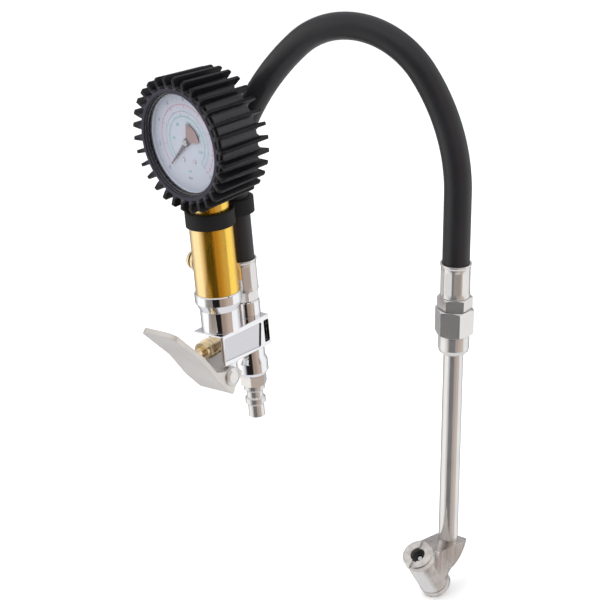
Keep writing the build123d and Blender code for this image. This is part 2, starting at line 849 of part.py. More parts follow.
# Union nut, washer, pipe and collar ---------------------------------------------------------------------
with BuildPart() as union_nut:
    hexagon(wand, 19.0, nut_bottom, nut_top, rotation=-14.0)
    drill(wand, thread_crest + running_gap, pipe_flange_back, nut_top)
    drill(wand, pipe_radius + 0.1, nut_bottom, pipe_flange_back)

with BuildPart() as union_washer:
    ring(wand, 3.2, 6.4, washer_back, fitting_face)

with BuildPart() as chuck_pipe:
    ring(wand, 0, pipe_radius, pipe_end, washer_back)
    ring(wand, 0, 6.4, pipe_flange_back, washer_back)
    drill(wand, 3.0, pipe_end, washer_back)
    drill(passage, passage_radius, 0, pipe_radius + 0.5)

with BuildPart() as pipe_collar:
    turn(
        wand,
        [
            (pipe_radius, nut_bottom - 0.1), (8.2, nut_bottom - 0.1), (8.6, nut_bottom - 0.8),
            (8.6, -30.6), (8.1, -32.4), (7.0, collar_bottom), (pipe_radius, collar_bottom),
        ],
    )

# Dual-foot chuck ----------------------------------------------------------------------------------------
cap_thickness = 5.0
cap_thread = 6.5
cap_depth = 9.0
valve_entry = 4.15
seal_front = -4.6
chamber = 5.0
seal_radius = chamber - 0.1
flange_back = -10.4
rib_half = 1.0
feet = {"front": barrel, "back": barrel_back}

with BuildPart() as chuck_head:
    with BuildSketch(web) as web_outline:
        with BuildLine():
            Polyline(
                (-8.8, -154.5), (-8.8, head_top), (24.0, -146.0), (30.0, -152.0), (16.0, -170.0),
                (8.5, -165.6),
            )
            ThreePointArc((8.5, -165.6), (-3.0, -161.6), (-8.8, -154.5))
        make_face()
    extrude(web_outline.sketch, amount=head_half_width, both=True)
    under_edges = []
    for edge in chuck_head.edges():
        middle = wand.to_local_coords(edge.center())
        if abs(abs(middle.Y) - head_half_width) < 0.01 and middle.X < 14.0 and middle.Z < pipe_end:
            under_edges.append(edge)
    fillet(under_edges, radius=4.5)
    ring(barrel, 0, barrel_radius, cap_thickness - barrel_length, -cap_thickness)
    for foot in feet.values():
        drill(foot, cap_thread, -cap_depth, -cap_thickness)
        drill(foot, chamber, rib_half - barrel_length / 2, -cap_depth)
    drill(barrel, 2.2, -barrel_length / 2 - rib_half, -barrel_length / 2 + rib_half)
    drill(wand, pipe_radius + 0.01, pipe_end, head_top + 8)
    drill(passage, passage_radius, 0, 22.0)


def foot_cap(place):
    """Screwed ring at one end of the barrel, with a slot for a wide driver."""
    turn(
        place,
        [
            (valve_entry, 0), (barrel_radius - 0.3, 0), (barrel_radius + 0.3, -0.6),
            (barrel_radius + 0.3, -4.4), (barrel_radius, -cap_thickness), (cap_thread, -cap_thickness),
            (cap_thread, -cap_depth), (seal_radius, -cap_depth), (seal_radius, seal_front),
            (valve_entry, seal_front),
        ],
    )
    with BuildSketch(place.offset(-1.4)) as driver_slot:
        Rectangle(2.6, 24.0)
    extrude(driver_slot.sketch, amount=3.0, mode=Mode.SUBTRACT)


def foot_pin(place):
    """Valve-core presser with the flange that closes on the seal."""
    turn(
        place,
        [
            (0, -4.7), (1.2, -4.7), (1.6, -5.1), (1.6, -cap_depth), (4.3, -cap_depth),
            (4.3, flange_back), (1.2, flange_back), (1.2, -13.0), (0, -13.0),
        ],
    )


with BuildPart() as front_cap:
    foot_cap(barrel)

with BuildPart() as back_cap:
    foot_cap(barrel_back)

with BuildPart() as front_pin:
    foot_pin(barrel)

with BuildPart() as back_pin:
    foot_pin(barrel_back)

with BuildPart() as front_seal:
    ring(barrel, 2.0, seal_radius, -cap_depth, seal_front)

with BuildPart() as back_seal:
    ring(barrel_back, 2.0, seal_radius, -cap_depth, seal_front)

with BuildPart() as front_spring:
    coil(barrel, 3.0, 0.35, rib_half - barrel_length / 2, flange_back, 5)

with BuildPart() as back_spring:
    coil(barrel_back, 3.0, 0.35, rib_half - barrel_length / 2, flange_back, 5)

# Written pieces -----------------------------------------------------------------------------------------
pieces = {
    "inlet_nipple": inlet_nipple,
    "nipple_oring": nipple_oring,
    "valve_body": valve_body,
    "gallery_plug": gallery_plug,
    "plunger_guide": plunger_guide,
    "plunger": plunger,
    "poppet": poppet,
    "poppet_seal": poppet_seal,
    "valve_spring": valve_spring,
    "valve_cap": valve_cap,
    "lever": lever,
    "lever_pin": lever_pin,
    "handle_tube": handle_tube,
    "tube_oring": tube_oring,
    "bleed_valve_body": bleed_valve_body,
    "bleed_button": bleed_button,
    "bleed_seal": bleed_seal,
    "bleed_spring": bleed_spring,
    "hose_clip": hose_clip,
    "gauge_boot": gauge_boot,
    "gauge_case": gauge_case,
    "bezel_ring": bezel_ring,
    "gauge_lens": gauge_lens,
    "lens_gasket": lens_gasket,
    "gauge_socket": gauge_socket,
    "case_screws": case_screws,
    "bourdon_tube": bourdon_tube,
    "bourdon_tip": bourdon_tip,
    "link": link,
    "movement_back_plate": movement_back_plate,
    "movement_screws": movement_screws,
    "movement_front_plate": movement_front_plate,
    "movement_pillars": movement_pillars,
    "dial_posts": dial_posts,
    "dial_plate": dial_plate,
    "dial_screws": dial_screws,
    "pinion_shaft": pinion_shaft,
    "sector_gear": sector_gear,
    "hairspring": hairspring,
    "pointer": pointer,
    "pointer_cap": pointer_cap,
    "hose": hose,
    "hose_fitting_a": hose_fitting_a,
    "ferrule_a": ferrule_a,
    "hose_fitting_b": hose_fitting_b,
    "ferrule_b": ferrule_b,
    "union_nut": union_nut,
    "union_washer": union_washer,
    "chuck_pipe": chuck_pipe,
    "pipe_collar": pipe_collar,
    "chuck_head": chuck_head,
    "front_cap": front_cap,
    "back_cap": back_cap,
    "front_seal": front_seal,
    "back_seal": back_seal,
    "front_pin": front_pin,
    "back_pin": back_pin,
    "front_spring": front_spring,
    "back_spring": back_spring,
}
for label, piece in pieces.items():
    save(piece.part, label)
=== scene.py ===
"""Looks of the hand-held tyre inflator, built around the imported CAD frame.

Local measures are millimetres; every Blender object is in metres, in the CAD's frame.
"""

from math import cos, pi, radians, sin

import bmesh
import bpy
from mathutils import Matrix, Vector


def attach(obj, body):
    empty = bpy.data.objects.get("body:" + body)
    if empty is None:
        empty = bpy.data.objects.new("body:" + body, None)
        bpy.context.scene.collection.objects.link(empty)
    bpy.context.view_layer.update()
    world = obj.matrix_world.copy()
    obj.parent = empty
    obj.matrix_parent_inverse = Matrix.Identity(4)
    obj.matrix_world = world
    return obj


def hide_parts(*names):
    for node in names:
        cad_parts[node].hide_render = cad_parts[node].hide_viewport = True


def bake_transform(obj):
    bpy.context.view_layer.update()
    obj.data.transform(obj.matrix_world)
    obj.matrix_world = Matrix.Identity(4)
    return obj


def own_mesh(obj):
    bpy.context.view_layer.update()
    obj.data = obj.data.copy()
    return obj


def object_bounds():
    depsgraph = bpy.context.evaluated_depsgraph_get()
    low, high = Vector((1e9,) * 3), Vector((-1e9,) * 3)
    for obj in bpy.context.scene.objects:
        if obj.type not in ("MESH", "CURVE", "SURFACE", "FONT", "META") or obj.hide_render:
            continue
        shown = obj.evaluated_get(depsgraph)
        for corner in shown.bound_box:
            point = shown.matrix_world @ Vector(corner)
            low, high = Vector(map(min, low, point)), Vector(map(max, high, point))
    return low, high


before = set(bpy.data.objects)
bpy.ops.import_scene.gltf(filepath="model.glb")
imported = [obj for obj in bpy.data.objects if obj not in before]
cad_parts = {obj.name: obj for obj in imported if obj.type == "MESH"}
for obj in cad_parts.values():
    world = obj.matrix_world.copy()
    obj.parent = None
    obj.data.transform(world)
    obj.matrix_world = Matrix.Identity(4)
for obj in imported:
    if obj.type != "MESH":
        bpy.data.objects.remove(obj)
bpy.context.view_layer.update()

MM = 0.001
HANDLE = "grip_and_gauge"
WAND = "wand"

# Places in the CAD's frame ------------------------------------------------------------------------------


def axes(origin, z_axis, x_axis):
    """Local frame from an origin in mm, its axis and its first direction."""
    z = Vector(z_axis).normalized()
    x = Vector(x_axis)
    x = (x - z * z.dot(x)).normalized()
    matrix = Matrix((x, z.cross(x), z)).transposed().to_4x4()
    matrix.translation = Vector(origin)
    return matrix


def heading(degrees):
    """A level direction from its angle round the upright axis."""
    return (cos(radians(degrees)), sin(radians(degrees)), 0)


grip_y = -22.5
gauge_height = 176.4
dial_ahead = heading(-98)
dial_across = heading(-8)
inlet = axes((0, 0, 0), (0, 0, 1), (1, 0, 0))
bore = axes((0, 0, 55), (0, 1, 0), (1, 0, 0))
bleed = axes((0, grip_y, 102), (-1, 0, 0), (0, 0, 1))
dial = axes((0, grip_y, gauge_height), dial_ahead, dial_across)

# Hose path: an upright line, four bends in one upright plane and a straight leg
loop_across = Vector(heading(10))
hose_start = 80.0
hose_rise = 56.0
bend_radii = (95.0, 160.0, 50.4, 106.0)
bend_angles = (31.0, 20.0, 97.3, 37.2)
leg_length = 57.5
straight_steps = 14
bend_step = 2.0


def hose_line():
    """Points and directions along the hose, in mm."""
    points = [(Vector((0, hose_start)), Vector((0, 1)))]
    place = Vector((0, hose_start + hose_rise))
    course = radians(90)
    for index in range(1, straight_steps + 1):
        points.append((Vector((0, hose_start + hose_rise * index / straight_steps)), Vector((0, 1))))
    for radius, angle in zip(bend_radii, bend_angles):
        centre = place + radius * Vector((sin(course), -cos(course)))
        count = round(angle / bend_step)
        for index in range(1, count + 1):
            turned = course - radians(angle) * index / count
            place = centre + radius * Vector((-sin(turned), cos(turned)))
            points.append((place.copy(), Vector((cos(turned), sin(turned)))))
        course -= radians(angle)
    onward = Vector((cos(course), sin(course)))
    for index in range(1, straight_steps + 1):
        points.append((place + onward * leg_length * index / straight_steps, onward))
    return [
        (loop_across * p.x + Vector((0, 0, p.y)), loop_across * d.x + Vector((0, 0, d.y)))
        for p, d in points
    ]


hose_points = hose_line()
hose_end, hose_course = hose_points[-1]
wand_up = -hose_course
wand = axes(hose_end - wand_up, wand_up, heading(-85))
barrel_lean = radians(36)
barrel_length = 36.0
barrel_axis = (wand.to_3x3() @ Vector((sin(barrel_lean), 0, cos(barrel_lean)))).normalized()
barrel = axes(wand @ Vector((33.6, 0, -145.5)), barrel_axis, wand.col[1].xyz)
barrel_back = axes(barrel.translation - barrel_axis * barrel_length, -barrel_axis, wand.col[1].xyz)

# Mesh helpers -------------------------------------------------------------------------------------------
smooth_angle = radians(35)
on_axis = 1e-6


def place_mesh(name, bm, place, body, material):
    """Turns a bmesh in local mm into a piece, which rides on a body if one is named."""
    bm.transform(Matrix.Scale(MM, 4) @ place)
    bmesh.ops.recalc_face_normals(bm, faces=bm.faces)
    mesh = bpy.data.meshes.new(name)
    bm.to_mesh(mesh)
    bm.free()
    mesh.polygons.foreach_set("use_smooth", [True] * len(mesh.polygons))
    mesh.set_sharp_from_angle(angle=smooth_angle)
    piece = bpy.data.objects.new(name, mesh)
    bpy.context.scene.collection.objects.link(piece)
    mesh.materials.append(material)
    if body:
        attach(piece, body)
    return piece


def rounded(corners, radius):
    """A closed outline of (radius, height) with its corners off the axis rounded."""
    steps = 3
    points = []
    count = len(corners)
    for index, corner in enumerate(corners):
        here = Vector(corner)
        before = Vector(corners[index - 1])
        after = Vector(corners[(index + 1) % count])
        if here.x < on_axis:
            points.append(tuple(here))
            continue
        to_before, to_after = before - here, after - here
        reach = min(radius, 0.42 * to_before.length, 0.42 * to_after.length)
        start = here + to_before.normalized() * reach
        end = here + to_after.normalized() * reach
        for step in range(steps + 1):
            t = step / steps
            points.append(tuple(start * (1 - t) ** 2 + here * 2 * t * (1 - t) + end * t * t))
    return points


def even_angles(count):
    """Angles that share a full turn evenly, in radians."""
    return [2 * pi * index / count for index in range(count)]


def lathe_mesh(corners, soften, turns, shape=None):
    """A turned closed mesh through a list of angles; shape may change a radius with the angle."""
    outline = rounded(corners, soften)
    bm = bmesh.new()
    rings = []
    for radius, height in outline:
        if radius < on_axis:
            rings.append([bm.verts.new((0, 0, height))])
            continue
        rings.append([])
        for angle in turns:
            r = shape(angle, radius, height) if shape else radius
            rings[-1].append(bm.verts.new((r * cos(angle), r * sin(angle), height)))
    for index, ring in enumerate(rings):
        after = rings[(index + 1) % len(rings)]
        if len(ring) == 1 and len(after) == 1:
            continue
        for step in range(len(turns)):
            following = (step + 1) % len(turns)
            corners_of_face = [ring[step % len(ring)], ring[following % len(ring)]]
            corners_of_face += [after[following % len(after)], after[step % len(after)]]
            unique = []
            for vert in corners_of_face:
                if vert not in unique:
                    unique.append(vert)
            bm.faces.new(unique)
    return bm


def tube_between(bm, rings_of_points, closed_ends=True):
    """Joins rings of points into a tube, with its ends closed unless told otherwise."""
    rings = [[bm.verts.new(point) for point in ring] for ring in rings_of_points]
    for ring, after in zip(rings, rings[1:]):
        for step in range(len(ring)):
            following = (step + 1) % len(ring)
            bm.faces.new((ring[step], ring[following], after[following], after[step]))
    if closed_ends:
        bm.faces.new(list(reversed(rings[0])))
        bm.faces.new(rings[-1])
    return rings


def slab(bm, outline, low, high):
    """Adds a flat closed plate from an outline of (x, y)."""
    tube_between(bm, [[(x, y, low) for x, y in outline], [(x, y, high) for x, y in outline]])


# Materials ----------------------------------------------------------------------------------------------
# Painted shade: the near-black colour blended in where ambient occlusion finds close surfaces, and how far
# it looks
corner_shade_colour = (0.02, 0.018, 0.016, 1)
corner_shade_reach = 2.5 * MM
# Directions whose facing surfaces get painted reflections and painted shade on the gold tube and the chuck
grip_side = heading(-124)
hose_side = heading(-5)
chuck_flank = heading(39.1)
panel_reach = 33.5 * MM
worn_and_lit_edge_width = 0.5 * MM
plate_inside = 8.7 * MM
slot_floor = 9.5 * MM
field_floor = 10.4 * MM
field_bottom = 45.5 * MM
field_top = 63 * MM


def add(tree, kind, inputs=None, **settings):
    """Adds a shader node; an input is a socket to link or a value."""
    made = tree.nodes.new(kind)
    for key, value in settings.items():
        setattr(made, key, value)
    for key, value in (inputs or {}).items():
        if isinstance(value, bpy.types.NodeSocket):
            tree.links.new(value, made.inputs[key])
        else:
            made.inputs[key].default_value = value
    return made


def ramp(tree, factor, stops):
    """Adds a colour ramp; stops are (place, colour)."""
    made = add(tree, "ShaderNodeValToRGB", {"Fac": factor})
    elements = made.color_ramp.elements
    while len(elements) < len(stops):
        elements.new(1.0)
    for element, (position, colour) in zip(elements, stops):
        element.position = position
        element.color = (*colour, 1)
    return made.outputs["Color"]


def maths(tree, operation, first, second=0.0, third=0.0):
    """Adds a maths node and returns its value."""
    made = add(tree, "ShaderNodeMath", {0: first, 1: second, 2: third}, operation=operation)
    return made.outputs[0]


def spread(tree, value, low, high, start=0.3, end=0.7):
    """Maps a noise value to a range."""
    inputs = {"Value": value, "From Min": start, "From Max": end, "To Min": low, "To Max": high}
    return add(tree, "ShaderNodeMapRange", inputs).outputs["Result"]


def blend_colours(tree, factor, first, second):
    """Mixes two colours by a factor."""
    made = add(tree, "ShaderNodeMix", {0: factor, 6: first, 7: second}, data_type="RGBA")
    return made.outputs[2]


def vector_maths(tree, operation, first, second=(0, 0, 0), output="Vector"):
    """Adds a vector maths node and returns its vector or its value."""
    made = add(tree, "ShaderNodeVectorMath", {0: first, 1: second}, operation=operation)
    return made.outputs[output]


def noise(tree, place, scale, detail=2.0, stretch=None):
    """Adds a noise texture in object space, stretched by a per-axis scale if given."""
    if stretch:
        place = add(tree, "ShaderNodeMapping", {"Vector": place, "Scale": stretch}).outputs[0]
    made = add(tree, "ShaderNodeTexNoise", {"Vector": place, "Scale": scale, "Detail": detail})
    return made.outputs["Fac"]


def finish(
    name,
    colour,
    shade,
    metallic=0.0,
    rough=(0.3, 0.45),
    drift=25.0,
    grain=(900.0, 0.00001),
    streaks=None,
    corner_shade=0.35,
    edge=0.0,
    worn=None,
    coat=0.0,
    specular=0.5,
    tone=None,
):
    """A solid's material: colour drift, smudges, fine grain, streaks, worn edges and painted shade darkening
    its corners.

    rough is the roughness's range and grain a scale and a depth. streaks holds a scale, a stretch,
    a change of roughness and a height. worn holds a colour and an amount, and tone changes the colour.
    """
    material = bpy.data.materials.new(name)
    material.use_nodes = True
    tree = material.node_tree
    tree.nodes.clear()
    place = add(tree, "ShaderNodeTexCoord").outputs["Object"]
    cloud = noise(tree, place, drift, 3.0)
    base = blend_colours(tree, spread(tree, cloud, 0.0, 1.0), (*colour, 1), (*shade, 1))
    if tone:
        base = tone(tree, place, base)
    smudge = noise(tree, place, drift * 3.1, 4.0)
    roughness = spread(tree, smudge, rough[0], rough[1])
    fine = noise(tree, place, grain[0], 3.0)
    height = fine
    if streaks:
        lines = noise(tree, place, streaks[0], 2.0, streaks[1])
        roughness = maths(tree, "ADD", roughness, spread(tree, lines, -streaks[2], streaks[2]))
        height = maths(tree, "ADD", fine, maths(tree, "MULTIPLY", lines, streaks[3]))
    # Painted shade: the colour turns near-black in corners and recesses, where ambient occlusion finds close
    # surfaces
    if corner_shade:
        corner = add(tree, "ShaderNodeAmbientOcclusion", {"Distance": corner_shade_reach}, samples=4).outputs["AO"]
        painted_corner_shade = maths(tree, "MULTIPLY", spread(tree, corner, 1.0, 0.0, 0.1, 0.8), corner_shade)
        base = blend_colours(tree, painted_corner_shade, base, corner_shade_colour)
    if worn:
        pointed = add(tree, "ShaderNodeNewGeometry").outputs["Pointiness"]
        sharp = spread(tree, pointed, 0.0, 1.0, 0.51, 0.56)
        lighter_edges = maths(tree, "MULTIPLY", sharp, spread(tree, smudge, 0.2, 1.0))
        base = blend_colours(tree, maths(tree, "MULTIPLY", lighter_edges, worn[1]), base, (*worn[0], 1))
    normal_inputs = {"Height": height, "Distance": grain[1], "Strength": 1.0}
    if edge:
        normal_inputs["Normal"] = add(tree, "ShaderNodeBevel", {"Radius": edge}, samples=4).outputs[0]
    bump = add(tree, "ShaderNodeBump", normal_inputs).outputs[0]
    surface = add(
        tree,
        "ShaderNodeBsdfPrincipled",
        {
            "Base Color": base,
            "Metallic": metallic,
            "Roughness": roughness,
            "Normal": bump,
            "Coat Weight": coat,
            "Coat Roughness": 0.08,
            "Specular IOR Level": specular,
        },
    )
    add(tree, "ShaderNodeOutputMaterial", {"Surface": surface.outputs[0]})
    return material


def facing_to(tree, direction):
    """How far the surface faces a direction, from -1 to 1."""
    normal = add(tree, "ShaderNodeNewGeometry").outputs["Normal"]
    return vector_maths(tree, "DOT_PRODUCT", normal, direction, "Value")


def anodised_bloom(tree, place, base):
    """Painted reflections: the gold is painted paler where it faces the big softbox and yellower where it
    faces the hose side.
    """
    pale = spread(tree, facing_to(tree, grip_side), 0.0, 0.95, 0.52, 0.78)
    base = blend_colours(tree, pale, base, (0.98, 0.73, 0.38, 1))
    yellow = spread(tree, facing_to(tree, hose_side), 0.0, 0.8, 0.86, 0.97)
    return blend_colours(tree, yellow, base, (1.0, 0.70, 0.14, 1))


def boot_tones(tree, place, base):
    """The boot's painted light: its front ring painted paler and bluer as sheen, the panels between its fins
    painted greyer as lit, and its edges painted lighter as rubbed wear and edge highlight.
    """
    facing = facing_to(tree, dial_ahead)
    offset = vector_maths(tree, "SUBTRACT", place, dial.translation * MM)
    across = vector_maths(tree, "CROSS_PRODUCT", offset, dial_ahead)
    distance = vector_maths(tree, "LENGTH", across, output="Value")
    barrel_only = maths(tree, "LESS_THAN", distance, panel_reach)
    # Painted light: the barrel's panels between the fins get a greyer colour, as if lit
    lit_panel = maths(tree, "MULTIPLY", barrel_only, spread(tree, facing, 1.0, 0.0, 0.1, 0.5))
    base = blend_colours(tree, lit_panel, base, (0.05, 0.049, 0.052, 1))
    # Painted sheen: faces turned towards the dial's front get a paler, bluer colour
    front = maths(tree, "MULTIPLY", barrel_only, spread(tree, facing, 0.0, 1.0, 0.80, 0.92))
    base = blend_colours(tree, front, base, (0.022, 0.019, 0.032, 1))
    # Painted edge highlight and rubbed wear: the rubber turns lighter grey on edges, where the bevelled
    # normal leaves the true one
    softened = add(tree, "ShaderNodeBevel", {"Radius": worn_and_lit_edge_width}, samples=6).outputs[0]
    flatness = facing_to(tree, softened)
    patchy = spread(tree, noise(tree, place, 260, 3.0), 0.35, 1.0)
    lighter_edges = maths(tree, "MULTIPLY", patchy, spread(tree, flatness, 0.75, 0.0, 0.86, 0.99))
    return blend_colours(tree, lighter_edges, base, (0.085, 0.082, 0.09, 1))


def brushed_flank(tree, place, base):
    """Painted reflection and shade: the chuck's flank towards the hose side is painted warmer and brushed
    along the barrel, and the opposite flank painted darker.
    """
    facing = facing_to(tree, chuck_flank)
    brushed = spread(tree, noise(tree, place, 420, 3.0, (1.0, 1.0, 0.07)), 0.0, 1.0)
    warm = blend_colours(tree, brushed, (0.40, 0.32, 0.27, 1), (0.20, 0.155, 0.125, 1))
    base = blend_colours(tree, spread(tree, facing, 0.0, 0.9, 0.0, 0.3), base, warm)
    # Painted shade: the flank facing away from the hose side turns dark grey
    return blend_colours(tree, spread(tree, facing, 0.7, 0.0, -0.92, -0.7), base, (0.12, 0.115, 0.11, 1))


def sunk_fields(tree, place, base):
    """Satin floors in the side plates' sunk fields and dark floors in their slots."""
    parts = add(tree, "ShaderNodeSeparateXYZ", {0: place})
    normal = add(tree, "ShaderNodeSeparateXYZ", {0: add(tree, "ShaderNodeNewGeometry").outputs["Normal"]})
    across = maths(tree, "ABSOLUTE", parts.outputs["X"])
    height = parts.outputs["Z"]
    sideways = maths(tree, "GREATER_THAN", maths(tree, "ABSOLUTE", normal.outputs["X"]), 0.9)
    outside = maths(tree, "GREATER_THAN", across, plate_inside)
    below = maths(tree, "LESS_THAN", height, field_top)
    above = maths(tree, "GREATER_THAN", height, field_bottom)
    level = maths(tree, "MULTIPLY", below, above)
    beside = maths(tree, "MULTIPLY", maths(tree, "MULTIPLY", outside, sideways), level)
    field = maths(tree, "MULTIPLY", beside, maths(tree, "LESS_THAN", across, field_floor))
    deep = maths(tree, "MULTIPLY", beside, maths(tree, "LESS_THAN", across, slot_floor))
    satin = blend_colours(tree, noise(tree, place, 2600, 3.0), (0.58, 0.58, 0.61, 1), (0.72, 0.72, 0.75, 1))
    base = blend_colours(tree, field, base, satin)
    return blend_colours(tree, deep, base, (0.03, 0.03, 0.035, 1))


gold = finish(
    "gold_anodised", (1.0, 0.54, 0.045), (0.97, 0.49, 0.035), metallic=0.96, rough=(0.17, 0.25), drift=18,
    grain=(2600, 0.0000012), streaks=(40, (30, 30, 1), 0.06, 1.0), corner_shade=0.25, edge=0.0003,
    tone=anodised_bloom,
)
chrome = finish(
    "chrome", (0.90, 0.90, 0.92), (0.86, 0.86, 0.88), metallic=1.0, rough=(0.02, 0.07), drift=22,
    grain=(90, 0.00003), corner_shade=0.3, edge=0.0004, tone=sunk_fields,
)
bright_nickel = finish(
    "bright_nickel", (0.74, 0.725, 0.715), (0.69, 0.675, 0.665), metallic=0.86, rough=(0.10, 0.18), drift=30,
    grain=(1400, 0.0000015), streaks=(50, (25, 25, 1), 0.04, 0.8), corner_shade=0.3, edge=0.0002,
)
satin_nickel = finish(
    "satin_nickel", (0.56, 0.52, 0.485), (0.52, 0.485, 0.45), metallic=0.82, rough=(0.29, 0.34), drift=12,
    grain=(1800, 0.000002), streaks=(60, (30, 30, 2), 0.03, 0.8), corner_shade=0.18, edge=0.0004,
    worn=((0.85, 0.83, 0.80), 0.4),
)
chuck_nickel = finish(
    "chuck_nickel", (0.80, 0.785, 0.77), (0.70, 0.69, 0.675), metallic=0.92, rough=(0.17, 0.27), drift=30,
    grain=(1600, 0.000003), streaks=(70, (6, 6, 40), 0.08, 1.2), corner_shade=0.35, edge=0.0004,
    worn=((0.80, 0.78, 0.75), 0.5), tone=brushed_flank,
)
cap_nickel = finish(
    "cap_nickel", (0.50, 0.455, 0.42), (0.38, 0.34, 0.31), metallic=0.9, rough=(0.14, 0.24), drift=55,
    grain=(1600, 0.000003), corner_shade=0.5, edge=0.0003, worn=((0.85, 0.83, 0.80), 0.7),
)
brass = finish(
    "brass", (0.86, 0.70, 0.44), (0.80, 0.62, 0.37), metallic=0.95, rough=(0.14, 0.24), drift=45,
    grain=(1200, 0.000003), corner_shade=0.35, edge=0.0002,
)
steel = finish(
    "steel", (0.62, 0.62, 0.63), (0.55, 0.55, 0.57), metallic=0.95, rough=(0.16, 0.3), drift=60,
    grain=(1500, 0.000002), corner_shade=0.3, edge=0.0001,
)
black_steel = finish(
    "black_steel", (0.012, 0.013, 0.018), (0.02, 0.02, 0.026), metallic=0.0, rough=(0.18, 0.3), drift=40,
    grain=(1300, 0.000002), corner_shade=0.2, coat=0.4, edge=0.0002,
)
boot_rubber = finish(
    "boot_rubber", (0.0035, 0.0032, 0.0042), (0.0065, 0.006, 0.008), rough=(0.36, 0.48), drift=28,
    grain=(1100, 0.000008), corner_shade=0.8, specular=0.2, tone=boot_tones,
)
hose_rubber = finish(
    "hose_rubber", (0.0090, 0.0088, 0.0100), (0.0130, 0.0126, 0.0145), rough=(0.30, 0.40), drift=20,
    grain=(900, 0.000005), streaks=(30, (12, 12, 2), 0.03, 0.6), corner_shade=0.3, specular=0.36,
)
seal_rubber = finish(
    "seal_rubber", (0.012, 0.012, 0.012), (0.02, 0.02, 0.02), rough=(0.3, 0.5), drift=60,
    grain=(1500, 0.000004), corner_shade=0.3,
)
clip_plastic = finish(
    "clip_plastic", (0.006, 0.006, 0.0065), (0.009, 0.009, 0.0095), rough=(0.50, 0.60), drift=40,
    grain=(1600, 0.00001), corner_shade=0.35, edge=0.0004, specular=0.2,
)
washer_plastic = finish(
    "washer_plastic", (0.65, 0.64, 0.6), (0.58, 0.57, 0.52), rough=(0.4, 0.55), drift=60,
    grain=(1500, 0.000004), corner_shade=0.3,
)
dial_white = finish(
    "dial_print", (0.39, 0.405, 0.465), (0.36, 0.38, 0.445), rough=(0.45, 0.6), drift=30,
    grain=(2200, 0.000002), corner_shade=0.0,
)
pointer_paint = finish(
    "pointer_black", (0.13, 0.105, 0.12), (0.10, 0.08, 0.095), rough=(0.35, 0.5), drift=120,
    grain=(2600, 0.000003), corner_shade=0.1,
)
red_ink = finish(
    "red_ink", (0.46, 0.20, 0.25), (0.41, 0.17, 0.22), rough=(0.4, 0.55), drift=150,
    grain=(3000, 0.000001), corner_shade=0.0,
)
grey_ink = finish(
    "grey_ink", (0.20, 0.19, 0.25), (0.17, 0.16, 0.22), rough=(0.4, 0.55), drift=150,
    grain=(3000, 0.000001), corner_shade=0.0,
)
tail_paint = finish(
    "tail_paint", (0.25, 0.16, 0.16), (0.20, 0.13, 0.13), rough=(0.4, 0.55), drift=90,
    grain=(3000, 0.000001), corner_shade=0.0,
)
teal_ink = finish(
    "teal_ink", (0.17, 0.37, 0.37), (0.14, 0.32, 0.32), rough=(0.4, 0.55), drift=150,
    grain=(3000, 0.000001), corner_shade=0.0,
)


def lens_material():
    """Clear glass: see-through, with sharp reflections that grow at a glancing angle and a few smears."""
    material = bpy.data.materials.new("clear_lens")
    material.use_nodes = True
    tree = material.node_tree
    tree.nodes.clear()
    place = add(tree, "ShaderNodeTexCoord").outputs["Object"]
    smear = noise(tree, place, 60, 5.0, (1, 1, 3))
    clear = add(tree, "ShaderNodeBsdfTransparent", {"Color": (0.985, 0.99, 0.995, 1)})
    shine = add(tree, "ShaderNodeBsdfGlossy", {"Roughness": spread(tree, smear, 0.02, 0.12)})
    outside = maths(tree, "SUBTRACT", 1.0, add(tree, "ShaderNodeNewGeometry").outputs["Backfacing"])
    amount = add(tree, "ShaderNodeFresnel", {"IOR": 1.45}).outputs[0]
    amount = maths(tree, "MULTIPLY", maths(tree, "MULTIPLY", amount, 0.9), outside)
    both = add(tree, "ShaderNodeMixShader", {0: amount, 1: clear.outputs[0], 2: shine.outputs[0]})
    add(tree, "ShaderNodeOutputMaterial", {"Surface": both.outputs[0]})
    return material


clear_lens = lens_material()

finishes = {
    "gold_anodised": gold,
    "chrome": chrome,
    "bright_nickel": bright_nickel,
    "satin_nickel": satin_nickel,
    "brass": brass,
    "steel": steel,
    "black_steel": black_steel,
    "boot_rubber": boot_rubber,
    "hose_rubber": hose_rubber,
    "seal_rubber": seal_rubber,
    "clip_plastic": clip_plastic,
    "washer_plastic": washer_plastic,
    "dial_print": dial_white,
    "pointer_black": pointer_paint,
    "clear_lens": clear_lens,
}
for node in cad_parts.values():
    for slot in node.material_slots:
        slot.material = finishes[slot.material.name.split(".")[0]]
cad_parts["chuck_head"].material_slots[0].material = chuck_nickel
for name in ("front_cap", "back_cap"):
    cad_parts[name].material_slots[0].material = cap_nickel

# Hose ---------------------------------------------------------------------------------------------------
hose_radius = 7.5
hose_bore = 4.0
hose_sides = 64
loop_side = loop_across.cross(Vector((0, 0, 1)))


def ring_round(point, course, radius):
    """A ring of points round the hose's line."""
    outward = loop_side.cross(course)
    turns = even_angles(hose_sides)
    return [point + radius * (cos(turn) * loop_side + sin(turn) * outward) for turn in turns]


bm = bmesh.new()
outer_rings = [ring_round(point, course, hose_radius) for point, course in hose_points]
inner_rings = [ring_round(point, course, hose_bore) for point, course in reversed(hose_points)]
rings = tube_between(bm, outer_rings + inner_rings, closed_ends=False)
for step in range(hose_sides):
    following = (step + 1) % hose_sides
    bm.faces.new((rings[-1][step], rings[-1][following], rings[0][following], rings[0][step]))
hose = place_mesh("rubber_hose", bm, Matrix.Identity(4), None, hose_rubber)
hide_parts("hose")
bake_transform(hose)

# Crimped ferrules ---------------------------------------------------------------------------------------
ferrule_radius = 8.2
ferrule_skin = 8.0
ferrule_lip = 8.6
ferrule_mouth = 7.55
ferrule_hole = 5.0
crimp_count = 10
crimp_flat = 7.9
crimp_fade = 1.2
crimp_turn = 0.3


